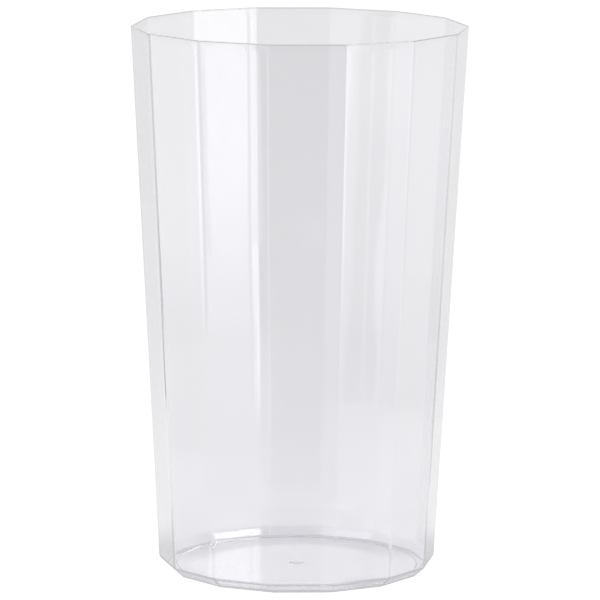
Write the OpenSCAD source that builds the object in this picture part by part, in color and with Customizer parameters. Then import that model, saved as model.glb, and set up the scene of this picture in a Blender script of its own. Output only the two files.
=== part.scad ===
// Clear plastic tumbler with flat sides, moulded in one piece.
// +Z points up out of the mouth, and the origin is the middle of the foot on the table.
// One corner of the sides lies on +X. All lengths are in millimetres.

/* [Size] */
// Height from the table to the top of the lip
height = 127; // [95:1:165]
// Width across opposite corners of the sides, at the level of the rim
rim_across = 78; // [70:0.5:95]
// Width across the same corners where the sides, carried down, would meet the table
base_across = 64.2; // [54:0.1:73]
// Number of flat sides
side_count = 14; // [8:1:20]

/* [Walls] */
// Thickness of the shell: each flat side and the bevel, square to its face
wall_t = 0.5; // [0.4:0.05:0.8]
// Depth that is rounded off each outside corner, so that no edge is sharp
outer_ease = 0.1; // [0.06:0.02:0.2]
// Depth that is rounded off each inside corner
inner_ease = 0.08; // [0.04:0.02:0.16]

/* [Lip] */
// How far the bead round the rim stands out past each face of the wall
lip_out = 0.1; // [0.05:0.05:0.3]
// Height over which the wall swells out to the bead
lip_swell = 0.8; // [0.5:0.1:2]

/* [Foot] */
// Height of the bevel round the foot
bevel_h = 2.2; // [1.6:0.1:3]
// How far the bevel comes in, from the carried down side to the table
bevel_in = 2.3; // [1.4:0.1:3]
// Radius inside, where the bevel turns up into the side
knee_r = 0.7; // [0.4:0.1:1.2]
// Width of the flat ring that the tumbler stands on, at the middle of a side
ring_w = 1.2; // [0.8:0.1:4]
// Height of the hollow under the floor
hollow_h = 0.3; // [0.25:0.05:0.5]

/* [Floor] */
// Thickness of the floor
floor_t = 0.5; // [0.4:0.05:0.8]
// Radius inside, where the floor turns up into the bevel
fillet_r = 0.6; // [0.3:0.1:1]
// Radius round the ceiling of the hollow under the floor
hollow_r = 0.15; // [0.1:0.05:0.2]

/* [Gate mark] */
// Width of the mark left under the floor where the plastic came in
gate_w = 3.2; // [1.6:0.2:6]
// How far that mark stands down from the floor
gate_h = 0.15; // [0.1:0.05:0.2]

/* [Hidden] */
$fn = 96;
plastic = [0.93, 0.93, 0.96, 0.35];

// Turn from one side to the next, and what a side's distance from the axis is to a corner's
side_turn = 360 / side_count;
flat_ratio = cos(side_turn / 2);

// How fast the corners spread with height, and how wide the wall is when cut level
corner_slope = (rim_across - base_across) / 2 / height;
flat_slope = corner_slope * flat_ratio;
level_t = wall_t * sqrt(1 + flat_slope * flat_slope);

// Distance from the axis to a corner and to the middle of a side, at any height
function corner_r(z) = base_across / 2 + corner_slope * z;
function flat_r(z) = corner_r(z) * flat_ratio;
function inner_flat_r(z) = flat_r(z) - level_t;

// The bead is a full round, centred on the wall
lip_r = wall_t / 2 + lip_out;
lip_z = height - lip_r;
lip_x = flat_r(lip_z) - level_t / 2;
swell_z = lip_z - lip_swell;

// Where a straight line from the point start just meets the bead's round, on its side 1 out or -1 in
function bead_touch(start, side) =
    let(
        along = [lip_x, lip_z] - start,
        turn = side * asin(lip_r / norm(along)),
        heading = atan2(along.y, along.x) - turn,
        run = sqrt(norm(along) ^ 2 - lip_r ^ 2)
    )
    start + run * [cos(heading), sin(heading)];
outer_start = [flat_r(swell_z), swell_z];
inner_start = [inner_flat_r(swell_z), swell_z];
outer_touch = bead_touch(outer_start, 1);
inner_touch = bead_touch(inner_start, -1);

// Reach of the foot and of the hollow under it
foot_r = flat_r(0) - bevel_in;
hollow_reach = foot_r - ring_w;

// Level of the floor, and how steep the bevel is; its inner face runs beside the outer one
floor_z = hollow_h + floor_t;
bevel_angle = atan2(bevel_h, bevel_in + flat_slope * bevel_h);
function inner_bevel_r(z) = foot_r - wall_t / sin(bevel_angle) + z / tan(bevel_angle);
knee_z = (bevel_in - level_t + wall_t / sin(bevel_angle)) / (1 / tan(bevel_angle) - flat_slope);
floor_edge = [inner_bevel_r(floor_z), floor_z];
knee = [inner_flat_r(knee_z), knee_z];
foot_edge = [foot_r, 0];
outer_knee = [flat_r(bevel_h), bevel_h];
outer_knee_r = knee_r + wall_t;

// Centre of the round in a corner, and where it meets the straight that leaves that corner towards an end
function unit(v) = v / norm(v);
function half_angle(before, here, after) = acos(unit(before - here) * unit(after - here)) / 2;
function round_centre(before, here, after, r) =
    here + unit(unit(before - here) + unit(after - here)) * r / sin(half_angle(before, here, after));
function round_end(before, here, after, r, end) =
    here + unit(end - here) * r / tan(half_angle(before, here, after));
floor_middle = [0, floor_z];
fillet_c = round_centre(floor_middle, floor_edge, knee, fillet_r);
knee_c = round_centre(floor_edge, knee, inner_start, knee_r);
outer_knee_c = round_centre(foot_edge, outer_knee, outer_start, outer_knee_r);

// Room past the part for a cut that goes right through
past = 5;
side_reach = rim_across + 2 * past;

// Solid whose every side has the section drawn in children(), x out from the axis and y up
module flat_sided() {
    intersection_for (i = [0 : side_count - 1])
        rotate([90, 0, (i + 0.5) * side_turn])
            linear_extrude(side_reach, center = true)
                children();
}

// Section of the outside: bevelled foot, leaning side, round bead
module outer_section() {
    polygon([
        [-side_reach, 0],
        foot_edge,
        round_end(foot_edge, outer_knee, outer_start, outer_knee_r, foot_edge),
        outer_knee_c,
        round_end(foot_edge, outer_knee, outer_start, outer_knee_r, outer_start),
        outer_start,
        outer_touch,
        [lip_x, lip_z],
        [lip_x, height],
        [-side_reach, height]
    ]);
    translate(outer_knee_c)
        circle(outer_knee_r);
    translate([lip_x, lip_z])
        circle(lip_r);
}

// Section of the inside: floor, bevel, leaning side, and the bead's inner half left standing
module inner_section() {
    difference() {
        union() {
            polygon([
                [-side_reach, floor_z],
                round_end(floor_middle, floor_edge, knee, fillet_r, floor_middle),
                fillet_c,
                round_end(floor_middle, floor_edge, knee, fillet_r, knee),
                round_end(floor_edge, knee, inner_start, knee_r, floor_edge),
                knee_c,
                round_end(floor_edge, knee, inner_start, knee_r, inner_start),
                inner_start,
                inner_touch,
                [lip_x, lip_z],
                [lip_x, height + past],
                [-side_reach, height + past]
            ]);
            translate(fillet_c)
                circle(fillet_r);
            translate(knee_c)
                circle(knee_r);
        }
        translate([lip_x, lip_z])
            circle(lip_r);
    }
}

// Turned blank that takes the point off each outside corner, and flares out for the bead
module outer_blank() {
    band_r = (lip_x + lip_r) / flat_ratio - outer_ease;
    band_z = outer_touch.y + lip_r / 4;
    flare_z = swell_z + lip_r / 4;
    rotate_extrude()
        polygon([
            [0, -past],
            [corner_r(-past) - outer_ease, -past],
            [corner_r(flare_z) - outer_ease, flare_z],
            [band_r, band_z],
            [band_r, height + past],
            [0, height + past]
        ]);
}

// Turned cone that takes the point off each inside corner
module inner_blank() {
    low = inner_flat_r(-past) / flat_ratio - inner_ease;
    high = inner_flat_r(height + past) / flat_ratio - inner_ease;
    translate([0, 0, -past])
        cylinder(height + 2 * past, low, high);
}

// Everything inside the outer faces
module outer_form() {
    intersection() {
        flat_sided()
            outer_section();
        outer_blank();
    }
}

// The space that holds the drink
module cavity() {
    intersection() {
        flat_sided()
            inner_section();
        inner_blank();
    }
}

// Shallow round hollow under the floor, with a rounded ceiling edge
module underside_hollow() {
    rotate_extrude()
        difference() {
            translate([0, -past])
                square([hollow_reach, past + hollow_h]);
            translate([hollow_reach - hollow_r, hollow_h - hollow_r])
                difference() {
                    square(2 * hollow_r);
                    circle(hollow_r);
                }
        }
}

// Round mark of the moulding gate, on the ceiling of the hollow
module gate_mark() {
    translate([0, 0, hollow_h - gate_h])
        cylinder(gate_h + floor_t / 2, gate_w / 2, gate_w / 2);
}

// The whole moulding
module tumbler() {
    color(plastic) {
        difference() {
            outer_form();
            cavity();
            underside_hollow();
        }
        gate_mark();
    }
}

tumbler();
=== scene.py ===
import math

import bmesh
import bpy
from mathutils import Matrix, Vector


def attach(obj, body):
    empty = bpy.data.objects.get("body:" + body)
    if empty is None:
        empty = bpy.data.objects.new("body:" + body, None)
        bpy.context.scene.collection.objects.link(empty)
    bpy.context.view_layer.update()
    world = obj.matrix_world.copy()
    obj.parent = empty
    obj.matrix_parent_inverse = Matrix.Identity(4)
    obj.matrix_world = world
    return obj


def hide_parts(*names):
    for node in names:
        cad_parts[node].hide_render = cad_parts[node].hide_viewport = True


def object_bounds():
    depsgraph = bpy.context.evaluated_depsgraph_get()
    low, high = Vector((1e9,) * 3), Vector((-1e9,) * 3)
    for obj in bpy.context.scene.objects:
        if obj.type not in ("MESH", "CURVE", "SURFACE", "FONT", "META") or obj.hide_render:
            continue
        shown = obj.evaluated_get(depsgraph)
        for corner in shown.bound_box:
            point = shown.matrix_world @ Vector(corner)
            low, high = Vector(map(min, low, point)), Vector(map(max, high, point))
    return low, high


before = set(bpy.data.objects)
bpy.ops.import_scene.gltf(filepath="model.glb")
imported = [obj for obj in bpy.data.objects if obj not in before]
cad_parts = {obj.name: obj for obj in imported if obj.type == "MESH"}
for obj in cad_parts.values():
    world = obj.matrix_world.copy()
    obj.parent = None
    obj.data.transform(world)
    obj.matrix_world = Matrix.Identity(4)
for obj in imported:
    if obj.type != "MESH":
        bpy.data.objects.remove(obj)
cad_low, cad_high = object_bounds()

# The camera stands a little to the left of the tumbler's front and looks slightly down on it
# from over a metre away, so its long lens keeps the upright edges nearly parallel.
MM = 0.001
height = cad_high.z
photo_width = 600
sensor_width = 36.0
camera_distance = 9 * height
camera_pitch = math.radians(9.66)
camera_turn = math.radians(-2.75)
camera_roll = math.radians(0.38)
focal_pixels = 4922.7
middle_x, middle_y = 298.3, 297.5

camera = bpy.data.objects.new("camera", bpy.data.cameras.new("camera"))
bpy.context.scene.collection.objects.link(camera)
bpy.context.scene.camera = camera
camera.data.sensor_width = sensor_width
camera.data.lens = focal_pixels / photo_width * sensor_width
camera.data.shift_x = (photo_width / 2 - middle_x) / photo_width
camera.data.shift_y = -(photo_width / 2 - middle_y) / photo_width
camera.data.clip_end = 20
looking = Vector((
    -math.sin(camera_turn) * math.cos(camera_pitch),
    math.cos(camera_turn) * math.cos(camera_pitch),
    -math.sin(camera_pitch),
))
camera.rotation_mode = "QUATERNION"
camera.rotation_quaternion = (
    looking.to_track_quat("-Z", "Y") @ Matrix.Rotation(camera_roll, 3, "Z").to_quaternion()
)
camera.location = Vector((0, 0, height / 2)) - looking * camera_distance


# The tumbler is one injection moulding in clear polystyrene: a thin shell of flat sides that lean
# out to a small round bead, on a bevelled foot with a shallow hollow under the floor. Nothing is
# fixed to it. One side is drawn, with its slice of lip, foot and floor, and set round in a ring.
SIDES = 14
half_turn = math.pi / SIDES
flat_ratio = math.cos(half_turn)

rim_across = 78.0
base_across = 64.2
wall_t = 0.5
lip_out = 0.05
lip_swell = 1.2
bevel_h = 2.2
bevel_in = 2.3
knee_r = 0.7
ring_w = 1.2
hollow_h = 0.3
floor_t = 0.5
fillet_r = 0.6
gate_w = 3.2
gate_h = 0.15

outer_edge_r = 2.2
inner_edge_r = 1.7
lip_blend_r = 1.0
foot_edge_r = 0.3
hollow_edge_r = 0.12

top = height / MM
corner_slope = (rim_across - base_across) / 2 / top
level_t = wall_t * math.hypot(1, corner_slope * flat_ratio)


def side_at(z):
    """Distance from the axis to the middle of a side's outer face."""
    return (base_across / 2 + corner_slope * z) * flat_ratio


def rounded(corners, step=math.radians(9)):
    """The section as points (x, z, edge radius): each corner (x, z, radius, edge radius) becomes an arc."""
    points = []
    for i, (x, z, radius, edge_r) in enumerate(corners):
        here = Vector((x, z))
        if radius == 0 or i in (0, len(corners) - 1):
            points.append((x, z, edge_r))
            continue
        before = (Vector(corners[i - 1][:2]) - here).normalized()
        after = (Vector(corners[i + 1][:2]) - here).normalized()
        bend = math.pi - before.angle(after)
        reach = radius * math.tan(bend / 2)
        centre = here + (before + after).normalized() * radius / math.cos(bend / 2)
        start = here + before * reach - centre
        turn = math.copysign(bend, start.cross(here + after * reach - centre))
        cuts = max(2, math.ceil(bend / step))
        for k in range(cuts + 1):
            angle = turn * k / cuts
            spoke = Matrix.Rotation(angle, 2) @ start
            points.append((*(centre + spoke), edge_r))
    return points


def bead_corners():
    """The lip's section: the wall swells out to a full round, whose square of corners is given here."""
    bead_r = wall_t / 2 + lip_out
    bead_z = top - bead_r
    bead_x = side_at(bead_z) - level_t / 2
    swell_z = bead_z - lip_swell
    round_r = bead_r * 0.999
    return [
        (side_at(swell_z), swell_z, lip_blend_r, outer_edge_r),
        (bead_x + bead_r, bead_z - bead_r * 0.4, lip_blend_r * 0.5, outer_edge_r),
        (bead_x + bead_r, top, round_r, outer_edge_r),
        (bead_x - bead_r, top, round_r, inner_edge_r),
        (bead_x - bead_r, bead_z - bead_r * 0.4, lip_blend_r * 0.5, inner_edge_r),
        (side_at(swell_z) - level_t, swell_z, lip_blend_r, inner_edge_r),
    ]


ROUND = 0
floor_z = hollow_h + floor_t
foot_x = side_at(0) - bevel_in
hollow_x = foot_x - ring_w
bevel_lean = (side_at(bevel_h) - foot_x) / bevel_h
bevel_level_t = wall_t * math.hypot(1, bevel_lean)
knee_z = (bevel_in - level_t + bevel_level_t) / (bevel_lean - corner_slope * flat_ratio)


def inner_bevel_at(z):
    """Distance from the axis to the bevel's inner face, which runs beside the outer one."""
    return foot_x - bevel_level_t + bevel_lean * z


section = rounded(
    [
        (0, hollow_h - gate_h, 0, ROUND),
        (gate_w / 2 - 0.3, hollow_h - gate_h, 0.6, ROUND),
        (gate_w / 2 + 0.3, hollow_h, 0.6, ROUND),
        (hollow_x, hollow_h, hollow_edge_r, ROUND),
        (hollow_x + 0.05, 0, foot_edge_r * 0.5, ROUND),
        (foot_x, 0, foot_edge_r, outer_edge_r),
        (side_at(bevel_h), bevel_h, knee_r + wall_t, outer_edge_r),
    ]
    + bead_corners()
    + [
        (side_at(knee_z) - level_t, knee_z, knee_r, inner_edge_r),
        (inner_bevel_at(floor_z), floor_z, fillet_r, inner_edge_r),
        (0, floor_z, 0, ROUND),
    ]
)


def with_rows(points, longest=8.0):
    """Cuts the section's long straight runs into rows no taller than the given length."""
    rows = [points[0]]
    for x, z, edge_r in points[1:]:
        last_x, last_z, last_edge_r = rows[-1]
        cuts = max(1, math.ceil(math.hypot(x - last_x, z - last_z) / longest))
        for k in range(1, cuts + 1):
            share = k / cuts
            row_edge_r = edge_r if share > 0.5 else last_edge_r
            rows.append((last_x + (x - last_x) * share, last_z + (z - last_z) * share, row_edge_r))
    return rows


FLAT_CUTS = 6
EDGE_CUTS = 4


def plan_points(reach, edge_r):
    """One side's outline at a level, from corner to corner: half an eased edge, the flat, half an edge."""
    if edge_r == ROUND or edge_r >= reach:
        count = FLAT_CUTS + 2 * EDGE_CUTS
        turns = [half_turn * (2 * k / count - 1) for k in range(count + 1)]
        return [(reach * math.cos(t), reach * math.sin(t)) for t in turns]
    flat_half = (reach - edge_r) * math.tan(half_turn)
    arc = [half_turn * k / EDGE_CUTS for k in range(EDGE_CUTS, 0, -1)]
    corner = [(reach - edge_r + edge_r * math.cos(t), flat_half + edge_r * math.sin(t)) for t in arc]
    flat = [(reach, flat_half * (2 * k / FLAT_CUTS - 1)) for k in range(FLAT_CUTS + 1)]
    return [(x, -y) for x, y in corner] + flat + corner[::-1]


def one_side():
    """Mesh of one side with its slice of the lip, the foot and the floor, closed at the axis."""
    shape = bmesh.new()
    rows = []
    for x, z, edge_r in with_rows(section):
        if x == 0:
            rows.append([shape.verts.new((0, 0, z * MM))])
        else:
            rows.append([shape.verts.new((px * MM, py * MM, z * MM)) for px, py in plan_points(x, edge_r)])
    for low, high in zip(rows, rows[1:]):
        for k in range(max(len(low), len(high)) - 1):
            corners = [
                low[min(k, len(low) - 1)], low[min(k + 1, len(low) - 1)],
                high[min(k + 1, len(high) - 1)], high[min(k, len(high) - 1)],
            ]
            shape.faces.new(list(dict.fromkeys(corners)))
    mesh = bpy.data.meshes.new("one_side")
    shape.to_mesh(mesh)
    shape.free()
    return mesh


def add(tree, kind, inputs=(), **settings):
    """Adds a node with its settings, and sets or links its inputs."""
    node = tree.nodes.new(kind)
    for name, value in settings.items():
        setattr(node, name, value)
    for socket, value in dict(inputs).items():
        if isinstance(value, bpy.types.NodeSocket):
            tree.links.new(value, node.inputs[socket])
        else:
            node.inputs[socket].default_value = value
    return node


def ring_of_sides():
    """Geometry Nodes that set copies of one side round the axis and weld them to a closed shell."""
    tree = bpy.data.node_groups.new("ring_of_sides", "GeometryNodeTree")
    face = tree.interface
    face.new_socket("Geometry", in_out="INPUT", socket_type="NodeSocketGeometry")
    face.new_socket("Sides", in_out="INPUT", socket_type="NodeSocketInt")
    face.new_socket("First turn", in_out="INPUT", socket_type="NodeSocketFloat")
    face.new_socket("Weld distance", in_out="INPUT", socket_type="NodeSocketFloat")
    face.new_socket("Material", in_out="INPUT", socket_type="NodeSocketMaterial")
    face.new_socket("Geometry", in_out="OUTPUT", socket_type="NodeSocketGeometry")
    given = add(tree, "NodeGroupInput").outputs
    places = add(tree, "GeometryNodePoints", {"Count": given["Sides"]})
    step = add(tree, "ShaderNodeMath", {0: 2 * math.pi, 1: given["Sides"]}, operation="DIVIDE")
    index = add(tree, "GeometryNodeInputIndex")
    turn = add(
        tree, "ShaderNodeMath",
        {0: index.outputs[0], 1: step.outputs[0], 2: given["First turn"]}, operation="MULTIPLY_ADD",
    )
    spin = add(tree, "ShaderNodeCombineXYZ", {"Z": turn.outputs[0]})
    copies = add(tree, "GeometryNodeInstanceOnPoints", {
        "Points": places.outputs[0], "Instance": given["Geometry"], "Rotation": spin.outputs[0],
    })
    real = add(tree, "GeometryNodeRealizeInstances", {"Geometry": copies.outputs[0]})
    welded = add(tree, "GeometryNodeMergeByDistance", {
        "Geometry": real.outputs[0], "Distance": given["Weld distance"],
    })
    smooth = add(tree, "GeometryNodeSetShadeSmooth", {"Geometry": welded.outputs[0]})
    coated = add(tree, "GeometryNodeSetMaterial", {
        "Geometry": smooth.outputs[0], "Material": given["Material"],
    })
    add(tree, "NodeGroupOutput", {"Geometry": coated.outputs[0]})
    return tree


def linear(hex_colour, alpha=1.0):
    """Linear colour from an sRGB hex value."""
    parts = [int(hex_colour[i:i + 2], 16) / 255 for i in (1, 3, 5)]
    return (*(c / 12.92 if c <= 0.04045 else ((c + 0.055) / 1.055) ** 2.4 for c in parts), alpha)


# General purpose (crystal) polystyrene, shot into a polished steel mould: bright, hard and clear,
# with a faint lavender cast, and long soft ripples where the plastic flowed up the sides. The lip's
# bead and the foot's bevel get a darker tint as painted shade, so the rim reads as one fine dark line.
ripple_length = 9 * MM
ripple_depth = 0.012 * MM
haze_length = 3 * MM
most_turns = 10.5


def moulded_crystal_polystyrene():
    material = bpy.data.materials.new("moulded_crystal_polystyrene")
    material.use_nodes = True
    tree = material.node_tree
    tree.nodes.clear()
    place = add(tree, "ShaderNodeTexCoord").outputs["Object"]
    stretch = add(tree, "ShaderNodeMapping", {"Vector": place, "Scale": (1, 1, 0.25)})
    ripple = add(tree, "ShaderNodeTexNoise", {
        "Vector": stretch.outputs[0], "Scale": 1 / ripple_length, "Detail": 1.0, "Roughness": 0.4,
    })
    swell = add(tree, "ShaderNodeBump", {
        "Height": ripple.outputs["Fac"], "Strength": 1.0, "Distance": ripple_depth,
    })
    haze = add(tree, "ShaderNodeTexNoise", {"Vector": place, "Scale": 1 / haze_length, "Detail": 2.0})
    gloss = add(tree, "ShaderNodeMapRange", {
        "Value": haze.outputs["Fac"], "From Min": 0.3, "From Max": 0.7, "To Min": 0.0, "To Max": 0.02,
    })
    z = add(tree, "ShaderNodeSeparateXYZ", {0: place}).outputs["Z"]
    reach = add(tree, "ShaderNodeVectorMath", {0: place}, operation="LENGTH").outputs["Value"]
    # Painted shade: the foot's bevel is tinted a little darker than the rest of the wall.
    low = add(tree, "ShaderNodeMapRange", {
        "Value": z, "From Min": bevel_h * MM, "From Max": (bevel_h + 0.6) * MM, "To Min": 1.0, "To Max": 0.0,
    })
    outer = add(tree, "ShaderNodeMapRange", {
        "Value": reach, "From Min": (foot_x - 0.8) * MM, "From Max": (foot_x - 0.4) * MM,
    })
    bevel = add(tree, "ShaderNodeMath", {0: low.outputs[0], 1: outer.outputs[0]}, operation="MULTIPLY")
    foot_painted_shade_tint = add(tree, "ShaderNodeMix", {
        "Factor": bevel.outputs[0], "A": linear("#FCFCFE"), "B": linear("#F4F4F8"),
    }, data_type="RGBA")
    # Painted shade: the top of the lip's bead is tinted dark, so the rim reads as one fine dark line.
    bead_painted_shade_mask = add(tree, "ShaderNodeMapRange", {
        "Value": z, "From Min": height - 0.4 * MM, "From Max": height - 0.2 * MM,
    })
    tint_with_painted_shade = add(tree, "ShaderNodeMix", {
        "Factor": bead_painted_shade_mask.outputs[0], "A": foot_painted_shade_tint.outputs["Result"], "B": linear("#D5D4DA"),
    }, data_type="RGBA")
    plastic = add(tree, "ShaderNodeBsdfPrincipled", {
        "Base Color": tint_with_painted_shade.outputs["Result"], "Roughness": gloss.outputs[0], "IOR": 1.59,
        "Transmission Weight": 1.0, "Normal": swell.outputs[0],
    })
    # Light that turned in the wall this often is let straight out, as the haze of real plastic does.
    ray = add(tree, "ShaderNodeLightPath")
    caught = add(
        tree, "ShaderNodeMath", {0: ray.outputs["Glossy Depth"], 1: most_turns}, operation="GREATER_THAN",
    )
    let_out = add(tree, "ShaderNodeBsdfTransparent", {"Color": (1, 1, 1, 1)})
    wall = add(tree, "ShaderNodeMixShader", {
        "Fac": caught.outputs[0], 1: plastic.outputs[0], 2: let_out.outputs[0],
    })
    shadow = add(tree, "ShaderNodeBsdfTransparent", {"Color": linear("#F4F4F8")})
    blend = add(tree, "ShaderNodeMixShader", {
        "Fac": ray.outputs["Is Shadow Ray"], 1: wall.outputs[0], 2: shadow.outputs[0],
    })
    add(tree, "ShaderNodeOutputMaterial", {"Surface": blend.outputs[0]})
    return material


def moulded_tumbler():
    """The whole shell as one plain mesh: the ring of sides, welded and smoothed by its large faces."""
    side = bpy.data.objects.new("one_side", one_side())
    bpy.context.scene.collection.objects.link(side)
    ring = side.modifiers.new("ring", "NODES")
    ring.node_group = ring_of_sides()
    plastic = moulded_crystal_polystyrene()
    wanted = {
        "Sides": SIDES, "First turn": half_turn, "Weld distance": 0.002 * MM, "Material": plastic,
    }
    for socket in ring.node_group.interface.items_tree:
        if socket.name in wanted:
            ring[socket.identifier] = wanted[socket.name]
    weighted = side.modifiers.new("weighted", "WEIGHTED_NORMAL")
    weighted.weight = 100
    seen = side.evaluated_get(bpy.context.evaluated_depsgraph_get())
    mesh = bpy.data.meshes.new_from_object(seen)
    mesh.name = "tumbler_moulding"
    bpy.data.objects.remove(side)
    piece = bpy.data.objects.new("tumbler_moulding", mesh)
    bpy.context.scene.collection.objects.link(piece)
    return piece


tumbler = moulded_tumbler()
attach(tumbler, "root")
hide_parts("tumbler")


# The studio: a pale table between white side walls, open and dark towards the camera. Seen directly
# it is plain white, and through the plastic a shade darker. What the plastic mirrors is the table,
# the walls, a soft box at the right and the dark room in front.
seen_white = 1.0
seen_through = 0.86
foot_shade = 0.6
ambient = 0.25
WHITE = (1, 1, 1, 1)


def stage_material(name, build):
    """Material of a stage piece, whose surface is built from nodes by the given function."""
    material = bpy.data.materials.new(name)
    material.use_nodes = True
    tree = material.node_tree
    tree.nodes.clear()
    add(tree, "ShaderNodeOutputMaterial", {"Surface": build(tree)})
    return material


def plane(name, corners, material):
    mesh = bpy.data.meshes.new(name)
    mesh.from_pydata(corners, [], [tuple(range(len(corners)))])
    mesh.materials.append(material)
    piece = bpy.data.objects.new(name, mesh)
    bpy.context.scene.collection.objects.link(piece)
    return piece


def mirrored(tree):
    """1 for what is seen in a reflection, also from inside the plastic, and 0 for all else."""
    depth = add(tree, "ShaderNodeLightPath").outputs["Glossy Depth"]
    return add(tree, "ShaderNodeMath", {0: depth, 1: 0.5}, operation="GREATER_THAN").outputs[0]


def unmirrored_sight(tree, behind):
    """Level of what is seen straight from the camera, or through the plastic: there it is behind."""
    ray = add(tree, "ShaderNodeLightPath")
    return add(tree, "ShaderNodeMapRange", {
        "Value": ray.outputs["Is Camera Ray"], "To Min": behind, "To Max": seen_white,
    }).outputs[0]


def joined(tree, operation, *parts):
    """The given levels added, subtracted or multiplied in turn, or the highest of them."""
    result = parts[0]
    for part in parts[1:]:
        result = add(tree, "ShaderNodeMath", {0: result, 1: part}, operation=operation).outputs[0]
    return result


def levels_along(tree, place, stops):
    """Level that follows a place on the table or a card, given as (place, level) from low to high."""
    total = stops[0][1]
    for (start, before), (end, after) in zip(stops, stops[1:]):
        if after == before:
            continue
        step = add(tree, "ShaderNodeMapRange", {
            "Value": place, "From Min": start, "From Max": end, "To Min": 0.0, "To Max": after - before,
        }, interpolation_type="SMOOTHSTEP")
        total = joined(tree, "ADD", total, step.outputs[0])
    return total


def stage_place(tree):
    """Where a ray meets a stage piece, along X, Y and Z in metres."""
    place = add(tree, "ShaderNodeTexCoord").outputs["Object"]
    return add(tree, "ShaderNodeSeparateXYZ", {0: place}).outputs


def across_line(tree, x, y, slope):
    """Place across a line that runs over the table at an angle."""
    return add(tree, "ShaderNodeMath", {0: x, 1: slope, 2: y}, operation="MULTIPLY_ADD").outputs[0]


def reach_from_axis(tree, x, y):
    squares = joined(tree, "ADD", joined(tree, "MULTIPLY", x, x), joined(tree, "MULTIPLY", y, y))
    return add(tree, "ShaderNodeMath", {0: squares}, operation="SQRT").outputs[0]


def mirrored_table(tree):
    """The table in reflections: white paper whose front edges are cut at an angle, and dark beyond it."""
    x, y, z = stage_place(tree)
    reach = reach_from_axis(tree, x, y)
    paper = joined(
        tree, "MAXIMUM",
        levels_along(
            tree, across_line(tree, x, y, -0.71),
            [(-0.27, 0.0), (-0.22, 0.35), (-0.214, 0.6), (-0.16, 1.0)],
        ),
        levels_along(tree, across_line(tree, x, y, 0.72), [(-0.013, 0.0), (0.007, 1.0)]),
    )

    # The front left edge between two sides mirrors a dark wedge of the table, with a bright line
    # along it that gives the side next to it a streak.
    beside = across_line(tree, x, y, -0.863)
    front_left = levels_along(tree, x, [(-0.045, 1.0), (-0.02, 0.0)])
    wedge = joined(
        tree, "MULTIPLY", front_left,
        levels_along(tree, beside, [(-0.0228, 1.0), (-0.0217, 0.0)]),
        levels_along(tree, reach, [(0.19, 0.0), (0.29, 1.0)]),
    )
    streak = joined(
        tree, "MULTIPLY", front_left,
        levels_along(tree, beside, [(-0.0225, 0.0), (-0.0218, 0.7), (-0.0202, 0.7), (-0.0195, 0.0)]),
        levels_along(tree, reach, [(0.15, 0.0), (0.22, 1.0)]),
    )
    paper = joined(tree, "MULTIPLY", paper, joined(tree, "SUBTRACT", 1.0, wedge))

    # The paper is lighter towards the back, most of all just behind the tumbler, and shaded in front.
    shade = levels_along(tree, y, [(-0.25, 0.45), (0.05, 0.62), (0.14, 0.62), (0.25, 0.81)])
    just_behind = joined(
        tree, "MULTIPLY",
        levels_along(tree, y, [(0.01, 0.0), (0.04, 0.25), (0.14, 0.25), (0.25, 0.0)]),
        levels_along(tree, x, [(-0.27, 0.0), (-0.2, 1.0), (0.11, 1.0), (0.16, 0.0)]),
    )
    in_front = joined(
        tree, "MULTIPLY",
        levels_along(tree, x, [(-0.07, 0.0), (-0.035, 1.0), (0.045, 1.0), (0.08, 0.0)]),
        levels_along(tree, y, [(-0.1, 0.6), (-0.07, 0.0)]),
    )
    lit_paper = joined(
        tree, "MULTIPLY", joined(tree, "ADD", shade, just_behind), joined(tree, "SUBTRACT", 1.0, in_front),
    )
    bare = levels_along(tree, x, [(0.06, 0.0), (0.09, 0.3)])
    table = add(tree, "ShaderNodeMix", {"Factor": paper, "A": bare, "B": lit_paper}, data_type="FLOAT")
    return joined(tree, "ADD", table.outputs[0], streak)


def table_through_plastic(tree):
    """The table through the plastic: painted lighter under the floor, with painted shade round the foot's far
    side and in a patch under its front right.
    """
    x, y, z = stage_place(tree)
    reach = reach_from_axis(tree, x, y)
    at_back = levels_along(tree, y, [(0.0, 0.0), (0.016, 1.0)])
    under_foot = joined(
        tree, "MULTIPLY", at_back,
        levels_along(tree, reach, [(0.018, 0.0), (0.023, 1.0), (0.029, 1.0), (0.031, 0.0)]),
    )
    beyond_foot = joined(
        tree, "MULTIPLY", at_back,
        levels_along(tree, reach, [(0.029, 0.0), (0.031, 0.35), (0.034, 0.35), (0.05, 0.0)]),
        levels_along(tree, x, [(-0.024, 0.0), (-0.018, 1.0), (0.005, 1.0), (0.01, 0.0)]),
    )
    # Painted shade: a dark patch on the table under the foot's front right.
    front_right = joined(
        tree, "MULTIPLY",
        levels_along(tree, x, [(0.008, 0.0), (0.013, 0.9), (0.019, 0.9), (0.024, 0.0)]),
        levels_along(tree, y, [(-0.028, 0.0), (-0.025, 1.0), (-0.021, 1.0), (-0.014, 0.0)]),
    )
    plain = add(tree, "ShaderNodeMapRange", {
        "Value": levels_along(tree, reach, [(0.022, 1.0), (0.027, 0.0)]),
        "To Min": seen_through,
        "To Max": levels_along(tree, x, [(-0.01, 1.0), (-0.007, 0.88)]),
    })
    return add(tree, "ShaderNodeMapRange", {
        "Value": joined(tree, "MAXIMUM", under_foot, front_right, beyond_foot),
        "To Min": plain.outputs[0], "To Max": foot_shade,
    }).outputs[0]


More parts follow.
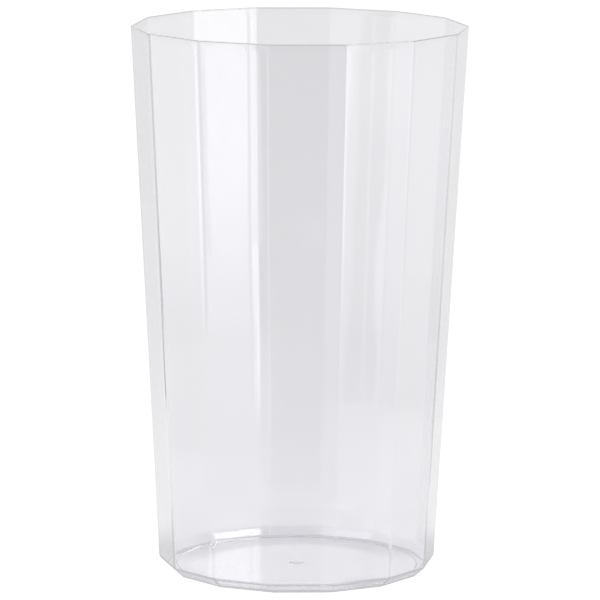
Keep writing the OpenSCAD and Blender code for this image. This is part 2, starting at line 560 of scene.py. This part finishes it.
def table_surface(tree):
    """Lit and shaded where it is seen, and with levels of its own where the plastic mirrors it."""
    glow = joined(tree, "SUBTRACT", unmirrored_sight(tree, table_through_plastic(tree)), ambient)
    lit = add(tree, "ShaderNodeBsdfDiffuse", {"Color": WHITE})
    shine = add(tree, "ShaderNodeEmission", {"Color": WHITE, "Strength": glow})
    direct = add(tree, "ShaderNodeAddShader", {0: lit.outputs[0], 1: shine.outputs[0]})
    own = add(tree, "ShaderNodeEmission", {"Color": WHITE, "Strength": mirrored_table(tree)})
    return add(tree, "ShaderNodeMixShader", {
        "Fac": mirrored(tree), 1: direct.outputs[0], 2: own.outputs[0],
    }).outputs[0]


floor_half = 4.0
floor_drop = 0.02 * MM
floor = plane("floor", [
    (-floor_half, -floor_half, 0), (floor_half, -floor_half, 0),
    (floor_half, floor_half, 0), (-floor_half, floor_half, 0),
], stage_material("pale_table", table_surface))
floor.location.z = -floor_drop


def card(name, corners, level):
    """A card that shows only in the tumbler's reflections; level is a number or builds one from nodes."""
    def surface(tree):
        clear = add(tree, "ShaderNodeBsdfTransparent")
        shown = level(tree) if callable(level) else level
        glow = add(tree, "ShaderNodeEmission", {"Color": WHITE, "Strength": shown})
        return add(tree, "ShaderNodeMixShader", {
            "Fac": mirrored(tree), 1: clear.outputs[0], 2: glow.outputs[0],
        }).outputs[0]
    piece = plane(name, corners, stage_material(name, surface))
    piece.visible_camera = piece.visible_diffuse = piece.visible_shadow = False
    return piece


def standing_card(name, start, end, low, high, level):
    """An upright card over a line on the table."""
    return card(name, [(*start, low), (*end, low), (*end, high), (*start, high)], level)


def overhead_card(name, left, right, level):
    """A level card high above the table, from one X to another."""
    front, back, top = -0.12, 0.3, 1.0
    return card(name, [(left, front, top), (right, front, top), (right, back, top), (left, back, top)], level)


def darker_low(tree, y, z, share, fade_height):
    """The walls darken to a share near the table, but not far behind the tumbler."""
    return joined(
        tree, "MAXIMUM",
        levels_along(tree, z, [(0.0, share), (fade_height, 1.0)]),
        levels_along(tree, y, [(0.2, 0.0), (0.3, 1.0)]),
    )


def left_level(tree):
    """Left of the tumbler, from the front: dark, a narrow bright card, a gap, and the wall in steps."""
    x, y, z = stage_place(tree)
    along = levels_along(tree, y, [
        (-0.2415, 0.0), (-0.2395, 0.9), (-0.2195, 0.9), (-0.2185, 0.0), (-0.2085, 0.0), (-0.2065, 0.56),
        (-0.18, 0.5), (-0.165, 0.1), (-0.05, 0.1), (0.0, 0.5), (0.012, 0.56),
        (0.019, 1.02), (0.038, 1.02), (0.05, 0.83), (0.09, 0.83),
        (0.11, 0.62), (0.4, 0.62), (0.415, 0.78), (0.455, 0.78), (0.47, 0.85),
    ])
    return joined(tree, "MULTIPLY", along, darker_low(tree, y, z, 0.6, 0.04))


def right_level(tree):
    """Right of the tumbler: a dim gap behind the soft box, then the wall."""
    x, y, z = stage_place(tree)
    along = levels_along(tree, y, [
        (-0.2, 0.6), (0.04, 0.6), (0.062, 0.86), (0.088, 0.86), (0.096, 0.73), (0.3, 0.73), (0.6, 0.81),
    ])
    return joined(tree, "MULTIPLY", along, darker_low(tree, y, z, 0.82, 0.05))


def soft_box_level(tree):
    """The soft box fades out downwards. Its near part is dimmer, with a bright end."""
    x, y, z = stage_place(tree)
    far = levels_along(tree, z, [(0.0, 0.6), (0.024, 0.72), (0.037, 1.23), (0.053, 1.75), (0.067, 2.1)])
    near = levels_along(tree, z, [(0.0, 0.4), (0.03, 0.68), (0.045, 0.8), (0.07, 1.13)])
    end = levels_along(tree, y, [(-0.172, 1.2), (-0.168, 0.0)])
    part = levels_along(tree, y, [(-0.1445, 0.0), (-0.1425, 1.0)])
    body = add(tree, "ShaderNodeMix", {"Factor": part, "A": near, "B": far}, data_type="FLOAT")
    return joined(tree, "ADD", body.outputs[0], end)


card_height = 0.6
standing_card("left_side", (-0.25, -1.6), (-0.25, 1.6), 0, card_height, left_level)
standing_card("right_side", (0.33, -0.2), (0.33, 1.6), 0, card_height, right_level)
standing_card("soft_box", (0.2, -0.32), (0.2, -0.115), 0, card_height, soft_box_level)
standing_card("dark_room", (-4.0, -1.6), (4.0, -1.6), -0.5, 4.0, 0.0)
overhead_card("top_box", 0.33, 0.8, 7.0)
overhead_card("top_left", -0.8, -0.33, 2.5)


# The room round the table: pale walls, then a dim ceiling from a given rise of the ray's direction.
# Light that the table scatters meets one even level, so that the tumbler's shadow on it stays soft.
wall_top = 0.24
ceiling_start = 0.42
mirrored_wall = 0.9
ceiling_level = 0.35


def room_level(tree):
    """Level of the room by the ray's direction: scattered, mirrored, through plastic or direct."""
    ray = add(tree, "ShaderNodeLightPath")
    scattered = add(
        tree, "ShaderNodeMath", {0: ray.outputs["Diffuse Depth"], 1: 0.5}, operation="GREATER_THAN",
    )
    direction = add(tree, "ShaderNodeTexCoord").outputs["Generated"]
    upward = add(tree, "ShaderNodeSeparateXYZ", {0: direction}).outputs["Z"]
    in_mirror, through = (
        levels_along(tree, upward, [(wall_top, wall_level), (ceiling_start, ceiling_level)])
        for wall_level in (mirrored_wall, seen_through)
    )
    sight = add(tree, "ShaderNodeMix", {
        "Factor": mirrored(tree), "A": unmirrored_sight(tree, through), "B": in_mirror,
    }, data_type="FLOAT")
    return add(tree, "ShaderNodeMix", {
        "Factor": scattered.outputs[0], "A": sight.outputs[0], "B": ambient,
    }, data_type="FLOAT").outputs[0]


world = bpy.data.worlds.new("studio")
bpy.context.scene.world = world
world.use_nodes = True
air = world.node_tree
air.nodes.clear()
sky = add(air, "ShaderNodeBackground", {"Color": WHITE, "Strength": room_level(air)})
add(air, "ShaderNodeOutputWorld", {"Surface": sky.outputs[0]})


def soft_lamp(name, place, size, power):
    """A square lamp that points at the foot and isn't seen or mirrored itself."""
    lamp = bpy.data.lights.new(name, "AREA")
    lamp.shape = "SQUARE"
    lamp.size = size
    lamp.energy = power
    holder = bpy.data.objects.new(name, lamp)
    bpy.context.scene.collection.objects.link(holder)
    holder.location = place
    holder.rotation_mode = "QUATERNION"
    holder.rotation_quaternion = (-Vector(place)).to_track_quat("-Z", "Y")
    holder.visible_camera = holder.visible_glossy = holder.visible_transmission = False
    return holder


soft_lamp("key_lamp", place=(0.5, -0.4, 1.4), size=0.8, power=2.0)

# Light goes back and forth in the clear wall many times before it leaves, so rays may turn often.
settings = bpy.context.scene
settings.view_settings.view_transform = "Standard"
settings.cycles.max_bounces = 96
settings.cycles.glossy_bounces = 64
settings.cycles.transmission_bounces = 64
settings.cycles.transparent_max_bounces = 16
